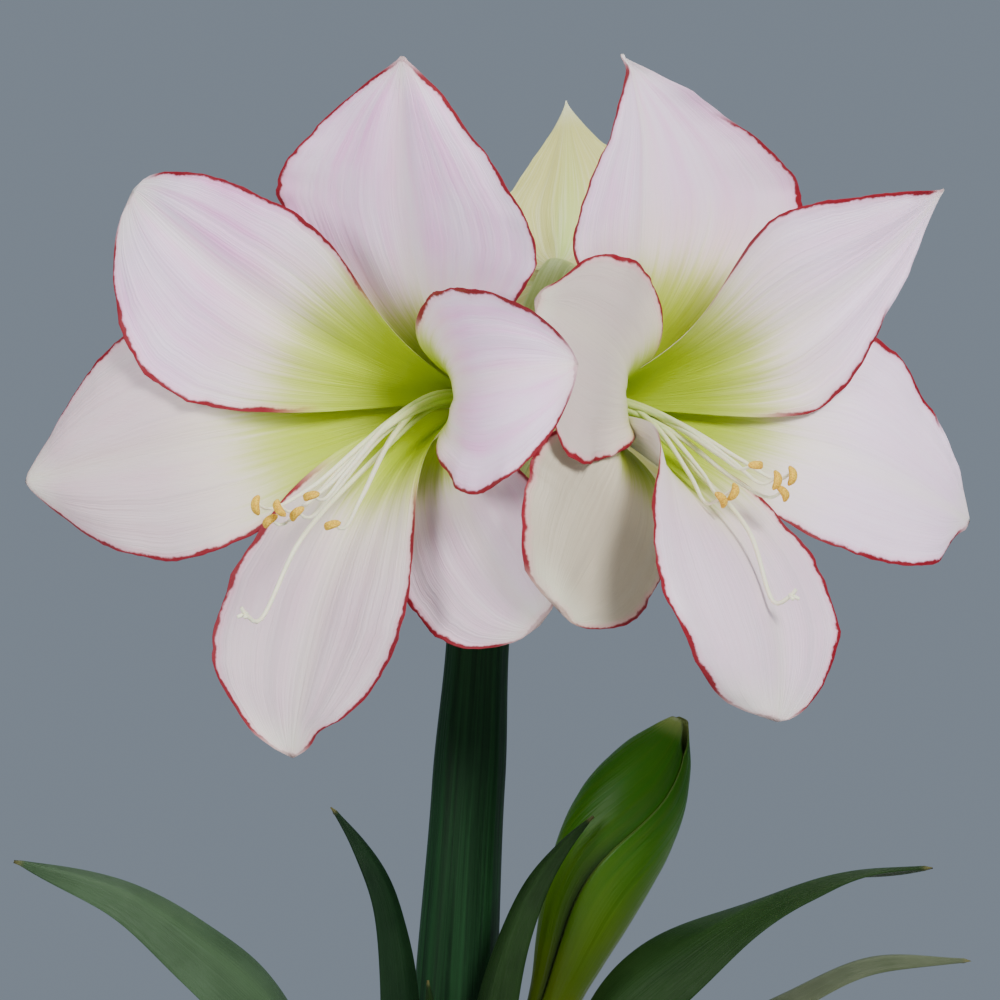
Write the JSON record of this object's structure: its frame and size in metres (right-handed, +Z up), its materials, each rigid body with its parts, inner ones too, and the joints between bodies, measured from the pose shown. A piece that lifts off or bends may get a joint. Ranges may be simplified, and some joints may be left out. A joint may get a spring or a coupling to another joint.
{
  "type": "potted amaryllis",
  "caption": "Picotee amaryllis in a clay pot: bulb, tall flower stalk with trumpet blooms, closed bud on its own stalk, arching strap leaves.",
  "frame": {"origin": "middle of the pot's flat underside", "axes": "+Z up along the plant, -Y towards the side the picture shows"},
  "size_m": [0.2566, 0.2042, 0.5418],
  "materials": {
    "clay": "matte unglazed clay",
    "soil": "dark crumbly soil",
    "bulb_skin": "dry papery skin",
    "stalk": "smooth, slightly waxy",
    "petal": "soft satin with a thin red edge",
    "stamen": "matte",
    "bud": "smooth, slightly waxy",
    "leaf": "smooth, slightly waxy",
    "bract": "dry papery sheath"
  },
  "bodies": {
    "root": {"pot": "clay", "soil": "soil", "bulb": "bulb_skin", "scape": "stalk", "pedicel_left": "stalk", "pedicel_right": "stalk", "pedicel_back": "stalk", "tepal_left_outer_top": "petal", "tepal_left_inner_right": "petal", "tepal_left_outer_low_right": "petal", "tepal_left_inner_bottom": "petal", "tepal_left_outer_low_left": "petal", "tepal_left_inner_top_left": "petal", "tepal_right_outer_top": "petal", "tepal_right_inner_top_right": "petal", "tepal_right_outer_low_right": "petal", "tepal_right_inner_bottom": "petal", "tepal_right_outer_low_left": "petal", "tepal_right_inner_top_left": "petal", "tepal_back_outer_top": "petal", "tepal_back_inner_top_left": "petal", "tepal_back_outer_low_left": "petal", "tepal_back_inner_bottom": "petal", "tepal_back_outer_low_right": "petal", "tepal_back_inner_top_right": "petal", "stamens_left": "stamen", "stamens_right": "stamen", "stamens_back": "stamen", "pistil_left": "stamen", "pistil_right": "stamen", "pistil_back": "stamen", "bud_stalk": "stalk", "bud_sheath_right": "bud", "bud_sheath_left": "bud", "bud_flowers": "petal", "leaf_far_left": "leaf", "leaf_near_left": "leaf", "leaf_young": "leaf", "leaf_near_right": "leaf", "leaf_right": "leaf", "leaf_far_right": "leaf", "bract_left": "bract", "bract_right": "bract"}
  },
  "joints": []
}
